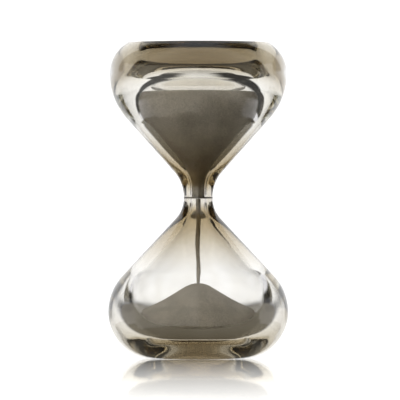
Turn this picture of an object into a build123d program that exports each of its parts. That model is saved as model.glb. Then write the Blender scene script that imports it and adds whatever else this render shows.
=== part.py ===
from build123d import *
import os
from math import asin, atan2, cos, degrees, hypot, radians, sin, tan

# A frameless hourglass: two thick mouth-blown bulbs of cased glass, clear outside and
# smoke-coloured inside, bonded neck to neck on a thin orifice disc. Millimetres, +Z up,
# the axis of revolution on Z, and the origin at the middle of the ground base flat.

# Overall sizes
TOTAL_HEIGHT = 150.0
JOINT_HEIGHT = 76.3         # middle of the orifice disc above the base
EDGE_POLISH = 0.8           # rounding of the edge of each ground flat

# Orifice disc and bond films
DISC_THICKNESS = 0.5
ORIFICE_RADIUS = 1.25
BOND_THICKNESS = 0.15
NECK_FACE = DISC_THICKNESS / 2 + BOND_THICKNESS   # ground neck face to middle of disc

# Necks, shared by both bulbs because they meet there
NECK_RADIUS = 6.9
BORE_RADIUS = 3.1
NECK_CASING = 0.8           # clear glass outside the smoke glass at the neck

# Lower bulb: outside, then cavity
LOWER_RADIUS = 42.8
LOWER_BELLY_HEIGHT = 22.0   # widest ring above the base flat
LOWER_NECK_ARC = 13.7
LOWER_BELLY_ARC = 25.4
LOWER_END_ARC = 22.3
LOWER_WALL = 10.8           # glass outside the widest ring of the cavity
LOWER_FLOOR = 11.0          # glass under the cavity
LOWER_THROAT = 3.3          # straight bore under the middle of the orifice disc
LOWER_CAVITY_NECK_ARC = 18.3
LOWER_CAVITY_BELLY_ARC = 19.6
LOWER_CAVITY_END_ARC = 14.8
LOWER_CAVITY_CROWN = 16.0   # widest ring above the cavity floor
LOWER_END_LINING = 7.0      # smoke glass under the cavity
LOWER_SMOKE_END_ARC = 22.0

# Upper bulb: outside, then cavity
UPPER_RADIUS = 42.1
UPPER_BELLY_DEPTH = 14.8    # widest ring under the top flat
UPPER_NECK_ARC = 17.9
UPPER_BELLY_ARC = 32.0
UPPER_END_ARC = 16.8
UPPER_WALL = 13.1
UPPER_ROOF = 12.2           # glass above the cavity
UPPER_THROAT = 5.1          # straight bore above the middle of the orifice disc
UPPER_CAVITY_NECK_ARC = 20.6
UPPER_CAVITY_BELLY_ARC = 18.9
UPPER_CAVITY_END_ARC = 11.5
UPPER_CAVITY_CROWN = 11.8   # widest ring under the cavity roof
UPPER_END_LINING = 8.0      # smoke glass above the cavity
UPPER_SMOKE_END_ARC = 19.0

# Smoke lining, thinnest where the bulb was blown widest
BELLY_LINING = 0.9

# Sand
REPOSE_ANGLE = radians(28.5)
SAND_DEPTH = 22.0           # rim of the upper sand under the top flat
PIT_RADIUS = 16.0           # drawdown pit in the upper sand
PIT_BOTTOM_ARC = 5.0
HEAP_RISE = 19.2            # peak of the heap above the cavity floor
HEAP_CROWN_ARC = 15.0
STREAM_TOP_RADIUS = 1.15
STREAM_FOOT_RADIUS = 0.9
STREAM_CLEARANCE = 0.3      # gap at each end of the stream, which is a body of its own

BEYOND = 10.0               # how far a cutting shape runs past what it cuts


def solid_of_revolution(*edges):
    """Turns a closed outline, drawn as (radius, height), about the Z axis."""
    return revolve(Plane.XZ * make_face(Curve() + list(edges)), Axis.Z)


def bulb_form(neck_radius, neck_arc, radius, belly_arc, end_arc, end, belly,
              throat=NECK_FACE, domed=True):
    """The filled form of one bulb, outside or cavity, standing on its ground neck face.

    It runs straight up to the height throat, then up a concave neck arc, a flank tangent
    to it and a belly arc to the widest ring at height belly, then round the end arc. A
    domed form closes with a shallow dome tangent to the end arc, and any other is ground
    flat at end. Heights are from the middle of the orifice disc.
    """
    rise = end - belly
    if domed:
        inner = radius - end_arc
        dome = (rise ** 2 + inner ** 2 - end_arc ** 2) / (2 * (rise - end_arc))
        dome_centre = end - dome
        end_sweep = atan2(belly - dome_centre, inner)
    else:
        end_sweep = asin(rise / end_arc)
    neck_centre = (neck_radius + neck_arc, throat)
    belly_centre = (radius - belly_arc, belly)
    across = neck_centre[0] - belly_centre[0]
    up = belly_centre[1] - neck_centre[1]
    flank = asin((neck_arc + belly_arc) / hypot(across, up)) - atan2(across, up)

    neck = CenterArc(neck_centre, neck_arc, 180, -degrees(flank))
    belly_side = CenterArc(belly_centre, belly_arc, -degrees(flank), degrees(flank))
    end_side = CenterArc((radius - end_arc, belly), end_arc, 0, degrees(end_sweep))
    if domed:
        start = degrees(end_sweep)
        top = CenterArc((0, dome_centre), dome, start, 90 - start)
    else:
        top = Line(end_side @ 1, (0, end))
    foot = [(0, end), (0, NECK_FACE), (neck_radius, NECK_FACE)]
    if throat > NECK_FACE:
        foot.append((neck_radius, throat))
    return solid_of_revolution(
        Polyline(*foot), neck, Line(neck @ 1, belly_side @ 0), belly_side, end_side, top)


def polished(form):
    """Rounds the edge of the ground end flat, the highest circle of the form."""
    return fillet(form.edges().filter_by(GeomType.CIRCLE).sort_by(Axis.Z)[-1], EDGE_POLISH)


def bulb_layers(outside, wall, end_glass, throat, neck_arc, belly_arc, end_arc, crown,
                end_lining, smoke_end_arc):
    """Casing, lining and cavity of one bulb, from its outside, cavity and lining sizes."""
    radius = outside["radius"] - wall
    end = outside["end"] - end_glass
    belly = end - crown
    cavity = bulb_form(BORE_RADIUS, neck_arc, radius, belly_arc, end_arc, end, belly, throat)
    neck_lining = NECK_RADIUS - NECK_CASING - BORE_RADIUS
    smoke = bulb_form(BORE_RADIUS + neck_lining, neck_arc - neck_lining,
                      radius + BELLY_LINING, belly_arc + BELLY_LINING,
                      smoke_end_arc, end + end_lining, belly, throat)
    outer = polished(bulb_form(NECK_RADIUS, **outside, domed=False))
    return outer - smoke, smoke - cavity, cavity


def disc_ring(inner_radius, thickness):
    """A flat ring out to the neck's skin, centred on z = 0."""
    return Cylinder(NECK_RADIUS, thickness) - Cylinder(inner_radius, thickness + BEYOND)


def sand_charge(cavity, level):
    """The sand left in the upper cavity, with its drawdown pit and its plug in the orifice."""
    slope_end = (PIT_BOTTOM_ARC * sin(REPOSE_ANGLE), PIT_BOTTOM_ARC * (1 - cos(REPOSE_ANGLE)))
    pit_depth = slope_end[1] + (PIT_RADIUS - slope_end[0]) * tan(REPOSE_ANGLE)
    bottom = level - pit_depth
    bowl = CenterArc((0, bottom + PIT_BOTTOM_ARC), PIT_BOTTOM_ARC, -90, degrees(REPOSE_ANGLE))
    above = (PIT_RADIUS + BEYOND, level + BEYOND)
    pit_rim = (PIT_RADIUS, level)
    wide = UPPER_RADIUS + BEYOND
    air = solid_of_revolution(
        bowl, Line(bowl @ 1, pit_rim), Line(pit_rim, (wide, level)),
        Polyline((wide, level), (wide, above[1] + wide), (0, above[1] + wide), (0, bottom)),
    )
    plug_height = NECK_FACE + DISC_THICKNESS / 2
    plug = Pos(0, 0, NECK_FACE - plug_height / 2) * Cylinder(ORIFICE_RADIUS, plug_height)
    throat = Pos(0, 0, DISC_THICKNESS / 2 + BOND_THICKNESS / 2) * Cylinder(BORE_RADIUS, BOND_THICKNESS)
    return (cavity - air) + throat + plug


def sand_heap(cavity, floor, peak):
    """The heap at the foot of the lower cavity, in heights above the base."""
    crown = CenterArc((0, peak - HEAP_CROWN_ARC), HEAP_CROWN_ARC, 90, -degrees(REPOSE_ANGLE))
    reach = LOWER_RADIUS + BEYOND
    foot = (crown @ 1) + Vector(reach, -reach * tan(REPOSE_ANGLE), 0)
    deep = min(floor, foot.Y) - BEYOND
    below = solid_of_revolution(
        crown, Line(crown @ 1, foot), Polyline(foot, (foot.X, deep), (0, deep), (0, peak)),
    )
    return cavity & below


lower_end = JOINT_HEIGHT
upper_end = TOTAL_HEIGHT - JOINT_HEIGHT
upper_outside = dict(neck_arc=UPPER_NECK_ARC, radius=UPPER_RADIUS, belly_arc=UPPER_BELLY_ARC,
                     end_arc=UPPER_END_ARC, end=upper_end, belly=upper_end - UPPER_BELLY_DEPTH)
lower_outside = dict(neck_arc=LOWER_NECK_ARC, radius=LOWER_RADIUS, belly_arc=LOWER_BELLY_ARC,
                     end_arc=LOWER_END_ARC, end=lower_end, belly=lower_end - LOWER_BELLY_HEIGHT)

upper_casing, upper_lining, upper_cavity = bulb_layers(
    upper_outside, UPPER_WALL, UPPER_ROOF, UPPER_THROAT,
    UPPER_CAVITY_NECK_ARC, UPPER_CAVITY_BELLY_ARC, UPPER_CAVITY_END_ARC, UPPER_CAVITY_CROWN,
    UPPER_END_LINING, UPPER_SMOKE_END_ARC)
lower_casing, lower_lining, lower_cavity = (
    mirror(layer, Plane.XY) for layer in bulb_layers(
        lower_outside, LOWER_WALL, LOWER_FLOOR, LOWER_THROAT,
        LOWER_CAVITY_NECK_ARC, LOWER_CAVITY_BELLY_ARC, LOWER_CAVITY_END_ARC,
        LOWER_CAVITY_CROWN, LOWER_END_LINING, LOWER_SMOKE_END_ARC))

at_joint = Pos(0, 0, JOINT_HEIGHT)
bond = disc_ring(BORE_RADIUS, BOND_THICKNESS)
bond_offset = (DISC_THICKNESS + BOND_THICKNESS) / 2
heap_peak = LOWER_FLOOR + HEAP_RISE
stream_top = JOINT_HEIGHT - DISC_THICKNESS / 2 - STREAM_CLEARANCE
stream_foot = heap_peak + STREAM_CLEARANCE
stream_length = stream_top - stream_foot

nodes = {
    "upper_bulb_casing": at_joint * upper_casing,
    "upper_bulb_lining": at_joint * upper_lining,
    "lower_bulb_casing": at_joint * lower_casing,
    "lower_bulb_lining": at_joint * lower_lining,
    "orifice_disc": at_joint * disc_ring(ORIFICE_RADIUS, DISC_THICKNESS),
    "upper_neck_bond": at_joint * Pos(0, 0, bond_offset) * bond,
    "lower_neck_bond": at_joint * Pos(0, 0, -bond_offset) * bond,
    "upper_sand_charge": at_joint * sand_charge(upper_cavity, upper_end - SAND_DEPTH),
    "lower_sand_heap": sand_heap(at_joint * lower_cavity, LOWER_FLOOR, heap_peak),
    "sand_stream": Pos(0, 0, stream_foot) * Cone(
        STREAM_FOOT_RADIUS, STREAM_TOP_RADIUS, stream_length,
        align=(Align.CENTER, Align.CENTER, Align.MIN)),
}

os.makedirs("parts", exist_ok=True)
for name, shape in nodes.items():
    export_step(shape, f"parts/{name}.step")
print(f"stream {stream_foot:.2f} to {stream_top:.2f} mm, {stream_length:.2f} mm long")
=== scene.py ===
from collections import namedtuple
from math import asin, atan2, cos, hypot, pi, radians, sin, tan

import bmesh
import bpy
from bpy.props import FloatProperty, FloatVectorProperty, IntProperty, PointerProperty
from mathutils import Matrix, Vector


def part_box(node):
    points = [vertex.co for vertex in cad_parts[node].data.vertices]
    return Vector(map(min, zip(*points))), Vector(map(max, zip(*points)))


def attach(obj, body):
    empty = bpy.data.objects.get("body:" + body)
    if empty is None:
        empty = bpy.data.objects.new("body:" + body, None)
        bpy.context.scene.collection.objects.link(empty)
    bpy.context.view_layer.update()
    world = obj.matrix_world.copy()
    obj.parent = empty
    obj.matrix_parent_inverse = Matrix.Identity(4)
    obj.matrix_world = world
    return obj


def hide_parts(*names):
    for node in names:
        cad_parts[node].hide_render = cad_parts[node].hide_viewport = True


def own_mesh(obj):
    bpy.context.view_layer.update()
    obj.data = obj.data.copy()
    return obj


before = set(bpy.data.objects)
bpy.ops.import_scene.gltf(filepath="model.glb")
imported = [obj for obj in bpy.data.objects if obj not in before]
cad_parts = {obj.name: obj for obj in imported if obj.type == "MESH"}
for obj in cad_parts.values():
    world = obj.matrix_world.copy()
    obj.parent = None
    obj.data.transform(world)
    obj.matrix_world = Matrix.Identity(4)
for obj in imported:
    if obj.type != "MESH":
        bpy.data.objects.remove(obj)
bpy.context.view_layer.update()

bl_info = {
    "name": "Smoked Glass Hourglass",
    "version": (1, 0, 0),
    "blender": (4, 5, 0),
    "location": "View3D > Sidebar > Hourglass",
    "description": "Builds a frameless hourglass of smoke-lined glass, its sand caught mid-run",
    "category": "Add Mesh",
}

MM = 0.001
GLASS_BODY = "glass"
WELD = 1e-7                                 # points this close are one
STREAM_FACETS = 32
STREAM_BEADS = 17.0                         # radians that the beads turn over the whole fall
STREAM_SIDE_BENDS = 9.0                     # and the bends to the side and in depth
STREAM_DEPTH_BENDS = 7.0

DISC_LOW, DISC_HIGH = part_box("orifice_disc")
UPPER_LOW, UPPER_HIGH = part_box("upper_bulb_casing")
LOWER_LOW, LOWER_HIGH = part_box("lower_bulb_casing")
UPPER_SMOKE_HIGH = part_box("upper_bulb_lining")[1]
LOWER_SMOKE_LOW, LOWER_SMOKE_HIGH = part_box("lower_bulb_lining")
CHARGE_LOW, CHARGE_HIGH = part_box("upper_sand_charge")
HEAP_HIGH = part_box("lower_sand_heap")[1]
STREAM_LOW, STREAM_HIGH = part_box("sand_stream")

JOINT_HEIGHT = (DISC_LOW.z + DISC_HIGH.z) / 2
NECK_FACE = UPPER_LOW.z - JOINT_HEIGHT      # ground neck face to the middle of the disc
UPPER_END = UPPER_HIGH.z - JOINT_HEIGHT
LOWER_END = JOINT_HEIGHT - LOWER_LOW.z
UPPER_END_LINING = 8.0 * MM                 # smoke glass above the upper cavity
LOWER_END_LINING = 7.0 * MM                 # smoke glass under the lower cavity
BELLY_LINING = 0.9 * MM                     # smoke glass beside the widest ring
UPPER_CAVITY_RADIUS = UPPER_SMOKE_HIGH.x - BELLY_LINING
LOWER_CAVITY_RADIUS = LOWER_SMOKE_HIGH.x - BELLY_LINING
UPPER_CAVITY_END = UPPER_SMOKE_HIGH.z - UPPER_END_LINING - JOINT_HEIGHT
LOWER_CAVITY_END = JOINT_HEIGHT - LOWER_SMOKE_LOW.z - LOWER_END_LINING


# ---------------------------------------------------------------- settings in the sidebar

def size(name, description, millimetres):
    """A length setting with its default in millimetres."""
    return FloatProperty(name=name, description=description, default=millimetres * MM,
                         min=0.0, precision=5, subtype="DISTANCE", unit="LENGTH")


def colour(name, description, value):
    """A linear colour setting."""
    return FloatVectorProperty(name=name, description=description, default=value,
                               min=0.0, max=1.0, size=3, subtype="COLOR")


class HourglassNeck(bpy.types.PropertyGroup):
    """Sizes that both bulbs share because they meet at the neck."""
    radius: size("Neck Radius", "Outside of the glass at the ground neck faces", 6.9)
    bore: size("Bore Radius", "Inside of the glass at the neck faces", 3.1)
    lining: size("Neck Lining", "Smoke glass thickness at the neck", 3.0)
    polish: size("Edge Polish", "Rounding of the edge of each ground flat", 0.8)
    facets: IntProperty(name="Facets", description="Steps of one full turn", default=192, min=32)


class HourglassUpper(bpy.types.PropertyGroup):
    """Arcs of the upper bulb."""
    belly_depth: size("Belly Depth", "Widest ring under the top flat", 14.8)
    neck_arc: size("Neck Arc", "Concave arc above the neck, outside", 17.9)
    belly_arc: size("Belly Arc", "Arc under the widest ring, outside", 32.0)
    end_arc: size("Shoulder Arc", "Arc above the widest ring, outside", 16.8)
    throat: size("Throat", "Straight bore above the middle of the orifice disc", 5.1)
    cavity_neck_arc: size("Cavity Neck Arc", "Concave arc above the bore", 20.6)
    cavity_belly_arc: size("Cavity Belly Arc", "Arc under the cavity's widest ring", 18.9)
    cavity_end_arc: size("Cavity Shoulder Arc", "Arc above the cavity's widest ring", 11.5)
    cavity_crown: size("Cavity Crown", "Cavity's widest ring under its roof", 11.8)
    smoke_end_arc: size("Smoke Shoulder Arc", "Arc above the lining's widest ring", 19.0)


class HourglassLower(bpy.types.PropertyGroup):
    """Arcs of the lower bulb."""
    belly_depth: size("Belly Height", "Widest ring above the base flat", 22.0)
    neck_arc: size("Neck Arc", "Concave arc below the neck, outside", 13.7)
    belly_arc: size("Belly Arc", "Arc above the widest ring, outside", 25.4)
    end_arc: size("Heel Arc", "Arc below the widest ring, outside", 22.3)
    throat: size("Throat", "Straight bore under the middle of the orifice disc", 3.3)
    cavity_neck_arc: size("Cavity Neck Arc", "Concave arc below the bore", 18.3)
    cavity_belly_arc: size("Cavity Belly Arc", "Arc above the cavity's widest ring", 19.6)
    cavity_end_arc: size("Cavity Heel Arc", "Arc below the cavity's widest ring", 14.8)
    cavity_crown: size("Cavity Crown", "Cavity's widest ring above its floor", 16.0)
    smoke_end_arc: size("Smoke Heel Arc", "Arc below the lining's widest ring", 22.0)


class HourglassSand(bpy.types.PropertyGroup):
    """The sand in both bulbs."""
    repose: FloatProperty(name="Repose", description="Slope of the heap and of the pit",
                          default=radians(28.5), subtype="ANGLE", unit="ROTATION")
    pit_radius: size("Pit Radius", "Drawdown pit in the upper sand", 16.0)
    pit_arc: size("Pit Bottom Arc", "Rounding of the bottom of the pit", 5.0)
    crown_arc: size("Crown Arc", "Rounding of the heap's peak", 15.0)
    orifice: size("Plug Radius", "Sand in the orifice of the disc", 1.2)
    skin: size("Skin", "Air between the packed grains and the glass", 0.07)
    stream_foot: size("Stream Foot", "Radius of the falling stream at the heap", 0.9)
    wander: size("Wander", "How far the falling stream strays from the axis", 0.35)
    swell: FloatProperty(name="Swell", description="How much the stream thickens in beads",
                         default=0.12, min=0.0)
    dark: colour("Dark Grain", "Darkest grains", (0.26, 0.235, 0.197))
    light: colour("Light Grain", "Lightest grains", (0.74, 0.675, 0.575))


class HourglassTint(bpy.types.PropertyGroup):
    """Colour of the two glasses."""
    smoke: colour("Smoke", "Colour that the smoke glass lets through", (0.62, 0.55, 0.41))
    smoke_density: FloatProperty(name="Smoke Density", description="Absorption per metre",
                                 default=105.0, min=0.0)
    clear: colour("Clear", "Colour that the clear glass lets through", (0.97, 0.985, 0.975))
    clear_density: FloatProperty(name="Clear Density", description="Absorption per metre",
                                 default=12.0, min=0.0)
    streak: colour("Streak", "What a smoke streak lets through at each face", (0.96, 0.955, 0.94))
    neck: colour("Neck Tint", "What the thicker smoke near the neck lets through",
                 (0.66, 0.57, 0.4))
    neck_reach: size("Neck Reach", "How far from the joint the smoke is thicker", 38.0)
    inset: size("Smoke Inset", "Clear glass between the smoke lining and each face", 0.04)
    ior: FloatProperty(name="IOR", description="Refractive index of both glasses", default=1.5)
    wave_scale: FloatProperty(name="Wave Scale", description="Waves per metre in the polish",
                              default=45.0, min=0.0)
    wave_depth: size("Wave Depth", "Depth of the waves in the polish", 0.12)


class HourglassStudio(bpy.types.PropertyGroup):
    """Camera, floor and light."""
    distance: size("Camera Distance", "From the middle of the hourglass", 2800.0)
    aim_height: size("Aim Height", "Height of the level camera above the floor", 75.2)
    aim_side: size("Aim Side", "Camera position to the right of the axis", 0.85)
    view_width: size("View Width", "Width of the picture at the hourglass", 189.9)
    floor_radius: size("Floor Radius", "Round white table top under the hourglass", 1600.0)
    gloss_start: size("Gloss Start", "Where the table top's polish starts to fade", 50.0)
    gloss_reach: size("Gloss Reach", "Where the table top's polish has faded out", 600.0)
    floor_glow: FloatProperty(name="Floor Glow", description="Light from under the table top",
                              default=0.8, min=0.0)
    white: FloatProperty(name="White", description="Brightness that the camera sees around",
                         default=1.2, min=0.0)
    dark: FloatProperty(name="Dark", description="Brightness of the unlit studio walls",
                        default=0.05, min=0.0)


# ---------------------------------------------------------------- outlines and turning

Form = namedtuple("Form", "neck throat neck_arc radius belly_arc end_arc belly end domed")


def grown(form, by):
    """The form whose surface runs parallel to this one, farther out by that much."""
    return form._replace(
        neck=form.neck + by, neck_arc=form.neck_arc - by, radius=form.radius + by,
        belly_arc=form.belly_arc + by, end_arc=form.end_arc + by, end=form.end + by)


class Outline:
    """Half a cross-section, drawn in the XZ plane by one travelling point and turned about Z.

    Heights are from the middle of the orifice disc, up for the upper bulb (way 1) and down
    for the lower one (way -1).
    """

    def __init__(self, radius, height, way):
        self.mesh = bmesh.new()
        self.way = way
        self.start = self.tip = self.mesh.verts.new(self.place(radius, height))

    def place(self, radius, height):
        return Vector((radius, 0.0, JOINT_HEIGHT + self.way * height))

    def line(self, radius, height, steps=1):
        start, goal = self.tip.co.copy(), self.place(radius, height)
        for step in range(1, steps + 1):
            made = bmesh.ops.extrude_vert_indiv(self.mesh, verts=[self.tip])
            self.tip = made["verts"][0]
            self.tip.co = start.lerp(goal, step / steps)

    def arc(self, radius, height, turn, steps):
        """Swings the point about a centre. A positive turn leads from outwards to endwards."""
        made = bmesh.ops.spin(self.mesh, geom=[self.tip], cent=self.place(radius, height),
                              axis=(0.0, -self.way, 0.0), angle=turn, steps=steps)
        self.tip = next(part for part in made["geom_last"] if isinstance(part, bmesh.types.BMVert))

    def bulb_side(self, form, polish=0.0):
        """From the neck along the neck arc, flank, belly arc and end arc to the axis."""
        across = form.neck + form.neck_arc - (form.radius - form.belly_arc)
        up = form.belly - form.throat
        lean = asin((form.neck_arc + form.belly_arc) / hypot(across, up)) - atan2(across, up)
        if form.throat > NECK_FACE:
            self.line(form.neck, form.throat, 6)
        self.arc(form.neck + form.neck_arc, form.throat, -lean, 20)
        start = form.radius - form.belly_arc * (1 - cos(lean))
        self.line(start, form.belly - form.belly_arc * sin(lean), 24)
        self.arc(form.radius - form.belly_arc, form.belly, lean, 26)
        centre = form.radius - form.end_arc
        rise = form.end - form.belly
        if form.domed:
            dome = (rise ** 2 + centre ** 2 - form.end_arc ** 2) / (2 * (rise - form.end_arc))
            dome_centre = form.end - dome
            sweep = atan2(form.belly - dome_centre, centre)
            self.arc(centre, form.belly, sweep, 30)
            self.arc(0.0, dome_centre, pi / 2 - sweep, 24)
        else:
            inner = form.end_arc - polish
            sweep = asin((rise - polish) / inner)
            rim = centre + inner * cos(sweep)
            self.arc(centre, form.belly, sweep, 30)
            self.arc(rim, form.end - polish, pi / 2 - sweep, 8)
            self.line(0.0, form.end, 6)

    def cut(self, height, slope=0.0):
        """Removes the outline above a level, or above a cone that falls away from the axis."""
        away = Vector((sin(slope), 0.0, cos(slope)))
        start = Vector((0.0, 0.0, height))
        everything = self.mesh.verts[:] + self.mesh.edges[:]
        made = bmesh.ops.bisect_plane(self.mesh, geom=everything, dist=1e-8, plane_co=start,
                                      plane_no=away, clear_outer=True)
        self.tip = next(part for part in made["geom_cut"] if isinstance(part, bmesh.types.BMVert))


def turned(outline, facets):
    """Turns an outline a quarter about Z and mirrors that twice, which makes one closed skin."""
    skin = outline.mesh
    bmesh.ops.spin(skin, geom=skin.verts[:] + skin.edges[:], cent=(0, 0, 0), axis=(0, 0, 1),
                   angle=pi / 2, steps=facets // 4)
    for axis in ("X", "Y"):
        bmesh.ops.mirror(skin, geom=skin.verts[:] + skin.edges[:] + skin.faces[:],
                         matrix=Matrix.Identity(4), merge_dist=WELD, axis=axis)
    bmesh.ops.remove_doubles(skin, verts=skin.verts, dist=WELD)
    bmesh.ops.recalc_face_normals(skin, faces=skin.faces)
    return skin


def placed(skin, name, materials, slot, *nodes, crease=radians(35)):
    """Makes the finished piece from its skin and hands it to the frame."""
    mesh = bpy.data.meshes.new(name)
    skin.to_mesh(mesh)
    skin.free()
    mesh.shade_smooth()
    mesh.set_sharp_from_angle(angle=crease)
    for material in materials:
        mesh.materials.append(material)
    piece = bpy.data.objects.new(name, mesh)
    bpy.context.scene.collection.objects.link(piece)
    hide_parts(*nodes)
    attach(piece, GLASS_BODY)
    return piece


# ---------------------------------------------------------------- forms of this hourglass

def settings():
    return bpy.context.scene.hourglass


def outside(way):
    """Outside form of a bulb."""
    neck = settings().neck
    bulb = settings().upper if way > 0 else settings().lower
    end = UPPER_END if way > 0 else LOWER_END
    radius = UPPER_HIGH.x if way > 0 else LOWER_HIGH.x
    return Form(neck.radius, NECK_FACE, bulb.neck_arc, radius, bulb.belly_arc, bulb.end_arc,
                end - bulb.belly_depth, end, domed=False)


def cavity(way):
    """Form of the air and sand space of a bulb."""
    neck = settings().neck
    bulb = settings().upper if way > 0 else settings().lower
    radius = UPPER_CAVITY_RADIUS if way > 0 else LOWER_CAVITY_RADIUS
    end = UPPER_CAVITY_END if way > 0 else LOWER_CAVITY_END
    return Form(neck.bore, bulb.throat, bulb.cavity_neck_arc, radius, bulb.cavity_belly_arc,
                bulb.cavity_end_arc, end - bulb.cavity_crown, end, domed=True)


def smoke_outside(way):
    """Form where the smoke lining meets the clear casing."""
    inner, lining = cavity(way), settings().neck.lining
    bulb = settings().upper if way > 0 else settings().lower
    end_lining = UPPER_END_LINING if way > 0 else LOWER_END_LINING
    return inner._replace(
        neck=inner.neck + lining, neck_arc=inner.neck_arc - lining,
        radius=inner.radius + BELLY_LINING, belly_arc=inner.belly_arc + BELLY_LINING,
        end_arc=bulb.smoke_end_arc, end=inner.end + end_lining)


# ---------------------------------------------------------------- materials

def new_material(name):
    material = bpy.data.materials.new(name)
    material.use_nodes = True
    nodes = material.node_tree.nodes
    nodes.clear()
    return material, nodes, material.node_tree.links


def added(nodes, kind, **values):
    """Adds a node and sets its properties and, by name, its input sockets."""
    node = nodes.new(kind)
    for name, value in values.items():
        if hasattr(node, name):
            setattr(node, name, value)
        else:
            node.inputs[name.replace("_", " ")].default_value = value
    return node


def ranged(nodes, low, high, out_low, out_high, **values):
    """Adds a Map Range node with its limits set."""
    node = added(nodes, "ShaderNodeMapRange", **values)
    for socket, value in zip(node.inputs[1:5], (low, high, out_low, out_high)):
        socket.default_value = value
    return node


def ramped(nodes, low, low_colour, high, high_colour):
    """Adds a colour ramp between two colours."""
    ramp = added(nodes, "ShaderNodeValToRGB")
    start, end = ramp.color_ramp.elements
    start.position, end.position = low, high
    start.color, end.color = (*low_colour, 1.0), (*high_colour, 1.0)
    return ramp


def clear_glass():
    """Polished clear casing glass with the faint waviness of glass shaped by mouth and hand."""
    tint = settings().tint
    material, nodes, links = new_material("clear casing glass")
    output = added(nodes, "ShaderNodeOutputMaterial")
    surface = added(nodes, "ShaderNodeBsdfPrincipled", Roughness=0.0, IOR=tint.ior,
                    Transmission_Weight=1.0, Base_Color=(1.0, 1.0, 1.0, 1.0))
    volume = added(nodes, "ShaderNodeVolumeAbsorption", Density=tint.clear_density,
                   Color=(*tint.clear, 1.0))
    place = added(nodes, "ShaderNodeTexCoord")
    waves = added(nodes, "ShaderNodeTexNoise", Scale=tint.wave_scale, Detail=1.5)
    relief = added(nodes, "ShaderNodeBump", Strength=1.0, Distance=tint.wave_depth)
    links.new(place.outputs["Object"], waves.inputs["Vector"])
    links.new(waves.outputs["Fac"], relief.inputs["Height"])
    links.new(relief.outputs["Normal"], surface.inputs["Normal"])
    links.new(surface.outputs[0], output.inputs["Surface"])
    links.new(volume.outputs[0], output.inputs["Volume"])
    return material


def smoke_glass():
    """Smoke lining: it only tints, because it is fused to the clear glass around it.

    The smoke colour was drawn out with the bulb, so it lies in faint upright streaks. Near the
    neck it is thicker, except for a clear band at the joint that is a painted highlight.
    """
    tint = settings().tint
    material, nodes, links = new_material("smoke lining glass")
    output = added(nodes, "ShaderNodeOutputMaterial")
    surface = added(nodes, "ShaderNodeBsdfPrincipled", Roughness=0.0, IOR=1.0,
                    Transmission_Weight=1.0)
    volume = added(nodes, "ShaderNodeVolumeAbsorption", Density=tint.smoke_density,
                   Color=(*tint.smoke, 1.0))
    place = added(nodes, "ShaderNodeTexCoord")
    drawn = added(nodes, "ShaderNodeMapping", Scale=(1.0, 1.0, 0.16))
    cords = added(nodes, "ShaderNodeTexNoise", Scale=80.0, Detail=1.0)
    streaks = ramped(nodes, 0.35, tint.streak, 0.6, (1.0, 1.0, 1.0))
    split = added(nodes, "ShaderNodeSeparateXYZ")
    height = added(nodes, "ShaderNodeMath", operation="SUBTRACT")
    height.inputs[1].default_value = JOINT_HEIGHT
    away = added(nodes, "ShaderNodeMath", operation="ABSOLUTE")
    near_neck = ranged(nodes, 0.0, tint.neck_reach, 1.0, 0.0, interpolation_type="SMOOTHSTEP")
    # Painted highlight: the neck tint is held off within 2 to 9 mm of the joint, so the glass
    # there stays clear and the neck shows white at the joint. Farther out, the tint is the thicker
    # smoke near the neck.
    joint_highlight_window = ranged(nodes, 2 * MM, 9 * MM, 0.0, 1.0, interpolation_type="SMOOTHSTEP")
    neck_smoke_less_highlight = added(nodes, "ShaderNodeMath", operation="MULTIPLY")
    both = added(nodes, "ShaderNodeMix", data_type="RGBA", blend_type="MULTIPLY")
    both.inputs[7].default_value = (*tint.neck, 1.0)
    links.new(place.outputs["Object"], drawn.inputs["Vector"])
    links.new(drawn.outputs[0], cords.inputs["Vector"])
    links.new(cords.outputs["Fac"], streaks.inputs["Fac"])
    links.new(place.outputs["Object"], split.inputs[0])
    links.new(split.outputs["Z"], height.inputs[0])
    links.new(height.outputs[0], away.inputs[0])
    links.new(away.outputs[0], near_neck.inputs[0])
    links.new(away.outputs[0], joint_highlight_window.inputs[0])
    links.new(near_neck.outputs[0], neck_smoke_less_highlight.inputs[0])
    links.new(joint_highlight_window.outputs[0], neck_smoke_less_highlight.inputs[1])
    links.new(neck_smoke_less_highlight.outputs[0], both.inputs[0])
    links.new(streaks.outputs["Color"], both.inputs[6])
    links.new(both.outputs[2], surface.inputs["Base Color"])
    links.new(surface.outputs[0], output.inputs["Surface"])
    links.new(volume.outputs[0], output.inputs["Volume"])
    return material


def sand_material():
    """Fine matt sand of mixed dark and light grains."""
    sand = settings().sand
    material, nodes, links = new_material("dark grey-brown sand")
    output = added(nodes, "ShaderNodeOutputMaterial")
    surface = added(nodes, "ShaderNodeBsdfPrincipled", Roughness=0.92)
    place = added(nodes, "ShaderNodeTexCoord")
    grains = added(nodes, "ShaderNodeTexVoronoi", Scale=4200.0)
    drift = added(nodes, "ShaderNodeTexNoise", Scale=90.0, Detail=5.0)
    mix = added(nodes, "ShaderNodeMix", data_type="FLOAT")
    mix.inputs[0].default_value = 0.45
    ramp = ramped(nodes, 0.2, sand.dark, 0.85, sand.light)
    bump = added(nodes, "ShaderNodeBump", Strength=0.6, Distance=0.00012)
    links.new(place.outputs["Object"], grains.inputs["Vector"])
    links.new(place.outputs["Object"], drift.inputs["Vector"])
    links.new(drift.outputs["Fac"], mix.inputs[2])
    links.new(grains.outputs["Color"], mix.inputs[3])
    links.new(mix.outputs[0], ramp.inputs["Fac"])
    links.new(ramp.outputs["Color"], surface.inputs["Base Color"])
    links.new(grains.outputs["Distance"], bump.inputs["Height"])
    links.new(bump.outputs["Normal"], surface.inputs["Normal"])
    links.new(surface.outputs[0], output.inputs["Surface"])
    return material


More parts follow.
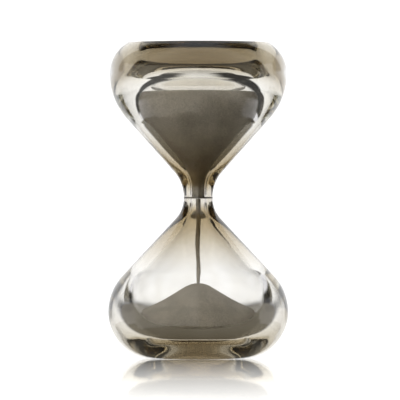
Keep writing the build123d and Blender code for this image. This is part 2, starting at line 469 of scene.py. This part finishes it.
def orifice_steel():
    """Turned steel of the orifice disc: dull, with fine rings and a darker heat tint in places."""
    material, nodes, links = new_material("orifice disc steel")
    output = added(nodes, "ShaderNodeOutputMaterial")
    surface = added(nodes, "ShaderNodeBsdfPrincipled", Metallic=1.0)
    place = added(nodes, "ShaderNodeTexCoord")
    rings = added(nodes, "ShaderNodeTexWave", wave_type="RINGS", rings_direction="Z",
                  Scale=900.0, Distortion=1.5, Detail=2.0)
    tint = added(nodes, "ShaderNodeTexNoise", Scale=350.0, Detail=4.0)
    ramp = ramped(nodes, 0.35, (0.12, 0.105, 0.09), 0.7, (0.3, 0.29, 0.27))
    dull = ranged(nodes, 0.0, 1.0, 0.35, 0.6)
    bump = added(nodes, "ShaderNodeBump", Strength=0.3, Distance=0.00002)
    links.new(place.outputs["Object"], rings.inputs["Vector"])
    links.new(place.outputs["Object"], tint.inputs["Vector"])
    links.new(tint.outputs["Fac"], ramp.inputs["Fac"])
    links.new(tint.outputs["Fac"], dull.inputs[0])
    links.new(ramp.outputs["Color"], surface.inputs["Base Color"])
    links.new(dull.outputs[0], surface.inputs["Roughness"])
    links.new(rings.outputs["Fac"], bump.inputs["Height"])
    links.new(bump.outputs["Normal"], surface.inputs["Normal"])
    links.new(surface.outputs[0], output.inputs["Surface"])
    return material


def cured_adhesive():
    """Cured brown adhesive, glossy where it wets the glass and mottled with fine bubbles."""
    material, nodes, links = new_material("cured neck adhesive")
    output = added(nodes, "ShaderNodeOutputMaterial")
    surface = added(nodes, "ShaderNodeBsdfPrincipled", IOR=1.5)
    place = added(nodes, "ShaderNodeTexCoord")
    bubbles = added(nodes, "ShaderNodeTexVoronoi", Scale=2500.0)
    mottle = added(nodes, "ShaderNodeTexNoise", Scale=600.0, Detail=3.0)
    ramp = ramped(nodes, 0.3, (0.03, 0.022, 0.012), 0.75, (0.11, 0.085, 0.05))
    gloss = ranged(nodes, 0.3, 0.7, 0.12, 0.4)
    bump = added(nodes, "ShaderNodeBump", Strength=0.4, Distance=0.00003)
    links.new(place.outputs["Object"], bubbles.inputs["Vector"])
    links.new(place.outputs["Object"], mottle.inputs["Vector"])
    links.new(mottle.outputs["Fac"], ramp.inputs["Fac"])
    links.new(mottle.outputs["Fac"], gloss.inputs[0])
    links.new(ramp.outputs["Color"], surface.inputs["Base Color"])
    links.new(gloss.outputs[0], surface.inputs["Roughness"])
    links.new(bubbles.outputs["Distance"], bump.inputs["Height"])
    links.new(bump.outputs["Normal"], surface.inputs["Normal"])
    links.new(surface.outputs[0], output.inputs["Surface"])
    return material


# ---------------------------------------------------------------- studio light

Patch = namedtuple("Patch", "azimuth elevation width height side_edge edge light")

# Azimuth 0 is straight behind the hourglass and 90 is to its right, all in degrees. Width and
# height are whole angles to the middle of the soft edges, which are that wide at the sides
# and that high above and below.
SOFTBOXES = {
    "backdrop": Patch(-5.0, 12.0, 94.0, 64.0, 6.0, 6.0, (1.15, 1.15, 1.15)),
    "upper backdrop": Patch(-2.0, 50.0, 60.0, 50.0, 12.0, 12.0, (0.75, 0.75, 0.75)),
    "horizon": Patch(0.0, -4.0, 190.0, 15.0, 4.0, 4.0, (0.95, 0.95, 1.0)),
    "left strip": Patch(-77.0, 0.0, 28.0, 36.0, 4.0, 4.0, (0.95, 0.95, 1.0)),
    "right strip": Patch(77.0, 0.0, 28.0, 36.0, 4.0, 4.0, (0.95, 0.95, 1.0)),
    "fill": Patch(120.0, 30.0, 40.0, 50.0, 20.0, 20.0, (0.5, 0.5, 0.5)),
    "overhead": Patch(0.0, 90.0, 400.0, 40.0, 20.0, 20.0, (0.9, 0.9, 0.9)),
    "front": Patch(180.0, 50.0, 160.0, 50.0, 40.0, 40.0, (1.1, 1.08, 1.0)),
    "left front": Patch(-134.0, -5.0, 92.0, 50.0, 8.0, 8.0, (1.0, 0.97, 0.9)),
    "table": Patch(0.0, -90.0, 400.0, 140.0, 3.0, 3.0, (0.17, 0.155, 0.125)),
}
# Black flags in front of the softboxes. Their light is the share that still gets past.
FLAGS = {
    "left foot flag": Patch(-53.0, -16.0, 34.0, 9.0, 3.0, 3.0, (0.2, 0.19, 0.16)),
    "right foot flag": Patch(53.0, -16.0, 34.0, 9.0, 3.0, 3.0, (0.2, 0.19, 0.16)),
}


def math_node(nodes, links, operation, first, second=None, third=None):
    node = added(nodes, "ShaderNodeMath", operation=operation)
    for socket, value in zip(node.inputs, (first, second, third)):
        if value is None:
            continue
        if isinstance(value, bpy.types.NodeSocket):
            links.new(value, socket)
        else:
            socket.default_value = value
    return node.outputs[0]


def soft_edge(nodes, links, offset, half, edge):
    """1 inside half, 0 outside it, with a smooth edge that wide."""
    away = math_node(nodes, links, "ABSOLUTE", offset)
    fade = ranged(nodes, half - edge / 2, half + edge / 2, 1.0, 0.0,
                  interpolation_type="SMOOTHSTEP")
    links.new(away, fade.inputs[0])
    return fade.outputs[0]


def surroundings():
    """Dark studio with a white backdrop and soft lights. The camera itself sees plain white."""
    studio = settings().studio
    world = bpy.data.worlds.new("studio surroundings")
    world.use_nodes = True
    nodes, links = world.node_tree.nodes, world.node_tree.links
    nodes.clear()
    place = added(nodes, "ShaderNodeTexCoord")
    direction = added(nodes, "ShaderNodeSeparateXYZ")
    links.new(place.outputs["Generated"], direction.inputs[0])
    azimuth = math_node(nodes, links, "ARCTAN2", direction.outputs["X"], direction.outputs["Y"])
    elevation = math_node(nodes, links, "ARCSINE", direction.outputs["Z"])

    def covered(patch):
        """1 inside a patch of the studio and 0 outside it."""
        turn = math_node(nodes, links, "SUBTRACT", azimuth, radians(patch.azimuth))
        turn = math_node(nodes, links, "WRAP", turn, pi, -pi)
        lift = math_node(nodes, links, "SUBTRACT", elevation, radians(patch.elevation))
        across = soft_edge(nodes, links, turn, radians(patch.width / 2),
                           radians(patch.side_edge))
        along = soft_edge(nodes, links, lift, radians(patch.height / 2), radians(patch.edge))
        return math_node(nodes, links, "MULTIPLY", across, along)

    light = added(nodes, "ShaderNodeRGB").outputs[0]
    light.default_value = (studio.dark, studio.dark, studio.dark, 1.0)
    for patches, blend in ((SOFTBOXES, "LIGHTEN"), (FLAGS, "MULTIPLY")):
        for patch in patches.values():
            laid = added(nodes, "ShaderNodeMix", data_type="RGBA", blend_type=blend)
            links.new(covered(patch), laid.inputs[0])
            links.new(light, laid.inputs[6])
            laid.inputs[7].default_value = (*patch.light, 1.0)
            light = laid.outputs[2]
    rays = added(nodes, "ShaderNodeLightPath")
    seen = added(nodes, "ShaderNodeMix", data_type="RGBA")
    links.new(rays.outputs["Is Camera Ray"], seen.inputs[0])
    links.new(light, seen.inputs[6])
    seen.inputs[7].default_value = (studio.white, studio.white, studio.white, 1.0)
    background = added(nodes, "ShaderNodeBackground")
    links.new(seen.outputs[2], background.inputs["Color"])
    output = added(nodes, "ShaderNodeOutputWorld")
    links.new(background.outputs[0], output.inputs["Surface"])
    return world


# ---------------------------------------------------------------- operators

class HOURGLASS_OT_glass(bpy.types.Operator):
    """Turn the clear glass body of each bulb, outside and cavity in one skin"""
    bl_idname = "hourglass.glass"
    bl_label = "Clear Glass Bulbs"

    def execute(self, context):
        neck, material = settings().neck, clear_glass()
        for name, way in (("upper_bulb", 1), ("lower_bulb", -1)):
            glass = Outline(neck.radius, NECK_FACE, way)
            glass.bulb_side(outside(way), neck.polish)
            glass.tip = glass.start
            glass.line(neck.bore, NECK_FACE, 6)
            glass.bulb_side(cavity(way))
            placed(turned(glass, neck.facets), name + "_clear_glass", [material],
                   "clear_glass", name + "_casing")
        return {"FINISHED"}


class HOURGLASS_OT_smoke(bpy.types.Operator):
    """Turn the smoke lining that is fused to the inside of each bulb"""
    bl_idname = "hourglass.smoke"
    bl_label = "Smoke Linings"

    def execute(self, context):
        neck, inset, material = settings().neck, settings().tint.inset, smoke_glass()
        for name, way in (("upper_bulb", 1), ("lower_bulb", -1)):
            smoke = Outline(neck.bore + neck.lining, NECK_FACE + inset, way)
            smoke.bulb_side(smoke_outside(way))
            smoke.tip = smoke.start
            smoke.line(neck.bore + inset, NECK_FACE + inset)
            smoke.bulb_side(grown(cavity(way), inset))
            placed(turned(smoke, neck.facets), name + "_smoke_glass", [material],
                   "smoke_glass", name + "_lining")
        return {"FINISHED"}


class HOURGLASS_OT_neck(bpy.types.Operator):
    """Finish the orifice disc and the adhesive films over and under it"""
    bl_idname = "hourglass.neck"
    bl_label = "Neck Joint"

    def execute(self, context):
        adhesive = cured_adhesive()
        finishes = {"orifice_disc": orifice_steel(), "upper_neck_bond": adhesive,
                    "lower_neck_bond": adhesive}
        for name, material in finishes.items():
            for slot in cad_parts[name].material_slots:
                slot.material = material
        return {"FINISHED"}


class HOURGLASS_OT_sand(bpy.types.Operator):
    """Pour the upper charge, the falling stream and the lower heap"""
    bl_idname = "hourglass.sand"
    bl_label = "Sand"

    def execute(self, context):
        sand, neck, material = settings().sand, settings().neck, sand_material()
        self.pour_charge(sand, neck, material)
        self.pour_heap(sand, neck, material)
        self.let_fall(sand, material)
        return {"FINISHED"}

    def pour_charge(self, sand, neck, material):
        """Plug in the orifice, the sand up to its level, and the drawdown pit in it."""
        charge = Outline(0.0, CHARGE_LOW.z - JOINT_HEIGHT, 1)
        charge.line(sand.orifice, CHARGE_LOW.z - JOINT_HEIGHT)
        charge.line(sand.orifice, DISC_HIGH.z - JOINT_HEIGHT + sand.skin)
        charge.line(neck.bore - sand.skin, DISC_HIGH.z - JOINT_HEIGHT + sand.skin)
        charge.line(neck.bore - sand.skin, NECK_FACE)
        charge.bulb_side(grown(cavity(1), -sand.skin))
        charge.cut(CHARGE_HIGH.z)
        level = CHARGE_HIGH.z - JOINT_HEIGHT
        slope_foot = sand.pit_arc * sin(sand.repose)
        depth = (sand.pit_arc * (1 - cos(sand.repose))
                 + (sand.pit_radius - slope_foot) * tan(sand.repose))
        charge.line(sand.pit_radius, level, 16)
        charge.line(slope_foot, level - depth + sand.pit_arc * (1 - cos(sand.repose)), 16)
        charge.arc(0.0, level - depth + sand.pit_arc, -sand.repose, 8)
        placed(turned(charge, neck.facets), "upper_sand", [material], "sand",
               "upper_sand_charge")

    def pour_heap(self, sand, neck, material):
        """The cavity cut off along the slope of the heap, with a rounded peak."""
        heap = Outline(neck.bore - sand.skin, NECK_FACE, -1)
        heap.bulb_side(grown(cavity(-1), -sand.skin))
        rise = sand.crown_arc * (1 / cos(sand.repose) - 1)
        heap.cut(HEAP_HIGH.z + rise, sand.repose)
        peak = JOINT_HEIGHT - HEAP_HIGH.z
        crown_foot = sand.crown_arc * sin(sand.repose)
        heap.line(crown_foot, peak + sand.crown_arc * (1 - cos(sand.repose)), 40)
        heap.arc(0.0, peak + sand.crown_arc, -sand.repose, 10)
        placed(turned(heap, neck.facets), "lower_sand", [material], "sand", "lower_sand_heap")

    def let_fall(self, sand, material):
        """The falling stream, which strays and swells a little."""
        stream = Outline(0.0, STREAM_LOW.z - JOINT_HEIGHT, 1)
        stream.line(sand.stream_foot, STREAM_LOW.z - JOINT_HEIGHT, 3)
        stream.line(STREAM_HIGH.x, STREAM_HIGH.z - JOINT_HEIGHT, 80)
        stream.line(0.0, STREAM_HIGH.z - JOINT_HEIGHT, 3)
        skin = turned(stream, STREAM_FACETS)
        fall = STREAM_HIGH.z - STREAM_LOW.z
        for vert in skin.verts:
            along = (STREAM_HIGH.z - vert.co.z) / fall
            stray = sand.wander * sin(pi * along)
            swell = 1.0 + sand.swell * sin(STREAM_BEADS * along) * along
            vert.co.x = vert.co.x * swell + stray * sin(STREAM_SIDE_BENDS * along)
            vert.co.y = vert.co.y * swell + stray * cos(STREAM_DEPTH_BENDS * along)
        falling = placed(skin, "falling_sand", [material], "sand", "sand_stream")
        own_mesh(falling)


class HOURGLASS_OT_studio(bpy.types.Operator):
    """Set up the floor, the light and the camera"""
    bl_idname = "hourglass.studio"
    bl_label = "Studio"

    def execute(self, context):
        studio, scene = settings().studio, context.scene
        self.table_top(scene, studio)
        scene.world = surroundings()

        camera = bpy.data.objects.new("camera", bpy.data.cameras.new("camera"))
        scene.collection.objects.link(camera)
        camera.location = (studio.aim_side, -studio.distance, studio.aim_height)
        camera.rotation_euler = (pi / 2, 0.0, 0.0)
        camera.data.lens = camera.data.sensor_width * studio.distance / studio.view_width
        camera.data.clip_start = 0.1
        camera.data.clip_end = 100.0
        scene.camera = camera
        scene.view_settings.view_transform = "Standard"
        scene.cycles.max_bounces = 40
        scene.cycles.transmission_bounces = 40
        scene.cycles.glossy_bounces = 24
        scene.cycles.diffuse_bounces = 4
        scene.cycles.volume_bounces = 0
        return {"FINISHED"}

    def table_top(self, scene, studio):
        """Round white table, polished round the hourglass and lit from below farther out."""
        floor_skin = bmesh.new()
        bmesh.ops.create_circle(floor_skin, cap_ends=True, segments=128,
                                radius=studio.floor_radius)
        mesh = bpy.data.meshes.new("floor")
        floor_skin.to_mesh(mesh)
        floor_skin.free()
        floor = bpy.data.objects.new("floor", mesh)
        scene.collection.objects.link(floor)
        material, nodes, links = new_material("white studio floor")
        output = added(nodes, "ShaderNodeOutputMaterial")
        surface = added(nodes, "ShaderNodeBsdfPrincipled", Roughness=0.03,
                        Base_Color=(0.9, 0.9, 0.9, 1.0), Emission_Color=(1.0, 1.0, 1.0, 1.0))
        place = added(nodes, "ShaderNodeTexCoord")
        away = added(nodes, "ShaderNodeVectorMath", operation="LENGTH")
        fade = ranged(nodes, studio.gloss_start, studio.gloss_reach, 0.0, 1.0)
        links.new(place.outputs["Object"], away.inputs[0])
        links.new(away.outputs["Value"], fade.inputs[0])
        links.new(math_node(nodes, links, "MULTIPLY", fade.outputs[0], studio.floor_glow),
                  surface.inputs["Emission Strength"])
        links.new(math_node(nodes, links, "MULTIPLY_ADD", fade.outputs[0], -0.5, 0.5),
                  surface.inputs["Specular IOR Level"])
        links.new(surface.outputs[0], output.inputs["Surface"])
        mesh.materials.append(material)
        floor.visible_transmission = floor.visible_glossy = False


class HOURGLASS_PT_panel(bpy.types.Panel):
    """Sidebar panel with the hourglass's steps"""
    bl_label = "Hourglass"
    bl_idname = "HOURGLASS_PT_panel"
    bl_space_type = "VIEW_3D"
    bl_region_type = "UI"
    bl_category = "Hourglass"

    def draw(self, context):
        for step in STEPS:
            self.layout.operator(step.bl_idname)


class HourglassSettings(bpy.types.PropertyGroup):
    """All settings of the hourglass."""
    neck: PointerProperty(type=HourglassNeck)
    upper: PointerProperty(type=HourglassUpper)
    lower: PointerProperty(type=HourglassLower)
    sand: PointerProperty(type=HourglassSand)
    tint: PointerProperty(type=HourglassTint)
    studio: PointerProperty(type=HourglassStudio)


STEPS = (HOURGLASS_OT_glass, HOURGLASS_OT_smoke, HOURGLASS_OT_neck, HOURGLASS_OT_sand,
         HOURGLASS_OT_studio)
CLASSES = (HourglassNeck, HourglassUpper, HourglassLower, HourglassSand, HourglassTint,
           HourglassStudio, HourglassSettings, *STEPS, HOURGLASS_PT_panel)


def register():
    for cls in CLASSES:
        bpy.utils.register_class(cls)
    bpy.types.Scene.hourglass = PointerProperty(type=HourglassSettings)


def unregister():
    del bpy.types.Scene.hourglass
    for cls in reversed(CLASSES):
        bpy.utils.unregister_class(cls)


def main():
    register()
    bpy.ops.hourglass.glass()
    bpy.ops.hourglass.smoke()
    bpy.ops.hourglass.neck()
    bpy.ops.hourglass.sand()
    bpy.ops.hourglass.studio()


if __name__ == "__main__":
    main()
